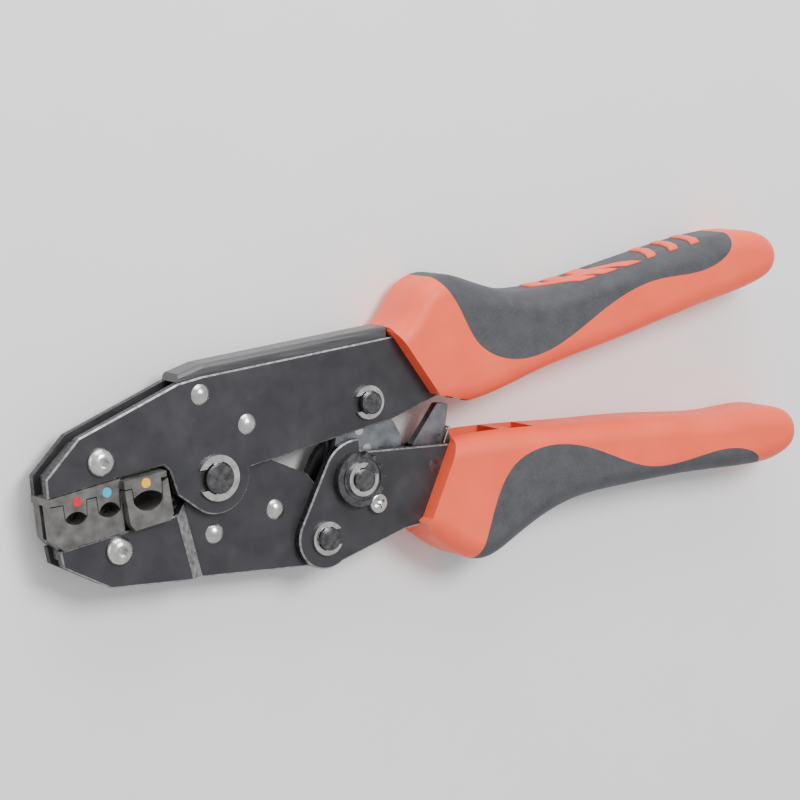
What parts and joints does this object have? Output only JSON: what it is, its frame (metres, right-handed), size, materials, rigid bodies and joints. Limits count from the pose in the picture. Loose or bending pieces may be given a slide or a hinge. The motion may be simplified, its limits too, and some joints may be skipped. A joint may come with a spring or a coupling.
{
  "type": "ratchet crimping tool",
  "caption": "Hand-held ratchet crimping tool with toggle-driven jaw, crimp nest dies, release pawl and two-colour grips.",
  "frame": {"origin": "centre of the bounding box at its lowest face, with the tool lying flat on its rear side", "axes": "+X from the jaws to the grips, +Y towards the fixed upper handle, +Z out of the front face"},
  "size_m": [0.2408, 0.0796, 0.02],
  "materials": {
    "blackened_steel": "satin black oxide with bright sheared edges",
    "die_steel": "matt grey phosphated steel",
    "nickel": "bright nickel plate",
    "link_steel": "bare hardened steel",
    "spring_steel": "bright spring wire",
    "red_plastic": "fine grained",
    "black_elastomer": "fine grained soft grip",
    "cover_plastic": "moulded cap strip",
    "red_paint": "satin",
    "blue_paint": "satin",
    "yellow_paint": "satin"
  },
  "bodies": {
    "upper_frame": {"upper_frame_plate_front": "blackened_steel", "upper_frame_plate_rear": "blackened_steel", "frame_spacers": "blackened_steel", "upper_frame_rivets": "nickel", "spine_cover": "cover_plastic", "upper_die": "die_steel", "upper_die_screw": "nickel", "upper_die_nut": "nickel", "red_nest_mark": "red_paint", "blue_nest_mark": "blue_paint", "yellow_nest_mark": "yellow_paint", "main_pivot_pin": "blackened_steel", "main_pin_clip": "nickel", "link_pivot_pin": "blackened_steel", "link_pin_clip": "nickel", "upper_grip": "red_plastic", "upper_grip_overmould": "black_elastomer"},
    "lower_jaw": {"lower_jaw_plate_front": "blackened_steel", "lower_jaw_plate_rear": "blackened_steel", "lower_jaw_rivets": "nickel", "lower_die": "die_steel", "lower_die_screw": "nickel", "lower_die_nut": "nickel"},
    "lower_handle": {"handle_plate_front": "blackened_steel", "handle_plate_rear": "blackened_steel", "handle_pivot_pin": "blackened_steel", "handle_pin_clip": "nickel", "toggle_pivot_pin": "blackened_steel", "toggle_pin_clip": "nickel", "adjusting_wheel": "blackened_steel", "adjuster_lock_screw": "nickel", "pawl_pivot_pin": "blackened_steel", "spring_anchor_pin": "blackened_steel", "return_spring": "spring_steel", "pawl_spring": "spring_steel", "lower_grip": "red_plastic", "lower_grip_overmould": "black_elastomer"},
    "toggle_link": {"toggle_link_front": "link_steel", "toggle_link_rear": "link_steel", "ratchet_sector": "link_steel", "link_rivets": "nickel"},
    "release_pawl": {"release_pawl": "link_steel"}
  },
  "joints": [
    {"name": "handle_pivot", "type": "hinge", "parent": "lower_jaw", "child": "lower_handle", "pos_m": [-0.04205, -0.02505, 0.01], "axis": [0, 0, -1], "range_deg": [0, 35], "deforming": ["return_spring"]},
    {"name": "main_pivot", "type": "hinge", "parent": "upper_frame", "child": "lower_jaw", "pos_m": [-0.07295, -0.00335, 0.01], "axis": [0, 0, 1], "range_deg": [0, 9.5]},
    {"name": "link_pivot", "type": "hinge", "parent": "upper_frame", "child": "toggle_link", "pos_m": [-0.02625, 0.00895, 0.01], "axis": [0, 0, 1], "range_deg": [0, 24.5]},
    {"name": "pawl_pivot", "type": "hinge", "parent": "lower_handle", "child": "release_pawl", "pos_m": [-0.00615, -0.01145, 0.01], "axis": [0, 0, 1], "range_deg": [0, 10], "stiffness_Nm_per_rad": 0.05, "deforming": ["pawl_spring"]}
  ],
  "couplings": [
    {"joint": "main_pivot", "follows": "handle_pivot", "ratio": 0.27},
    {"joint": "link_pivot", "follows": "handle_pivot", "ratio": 0.695}
  ]
}
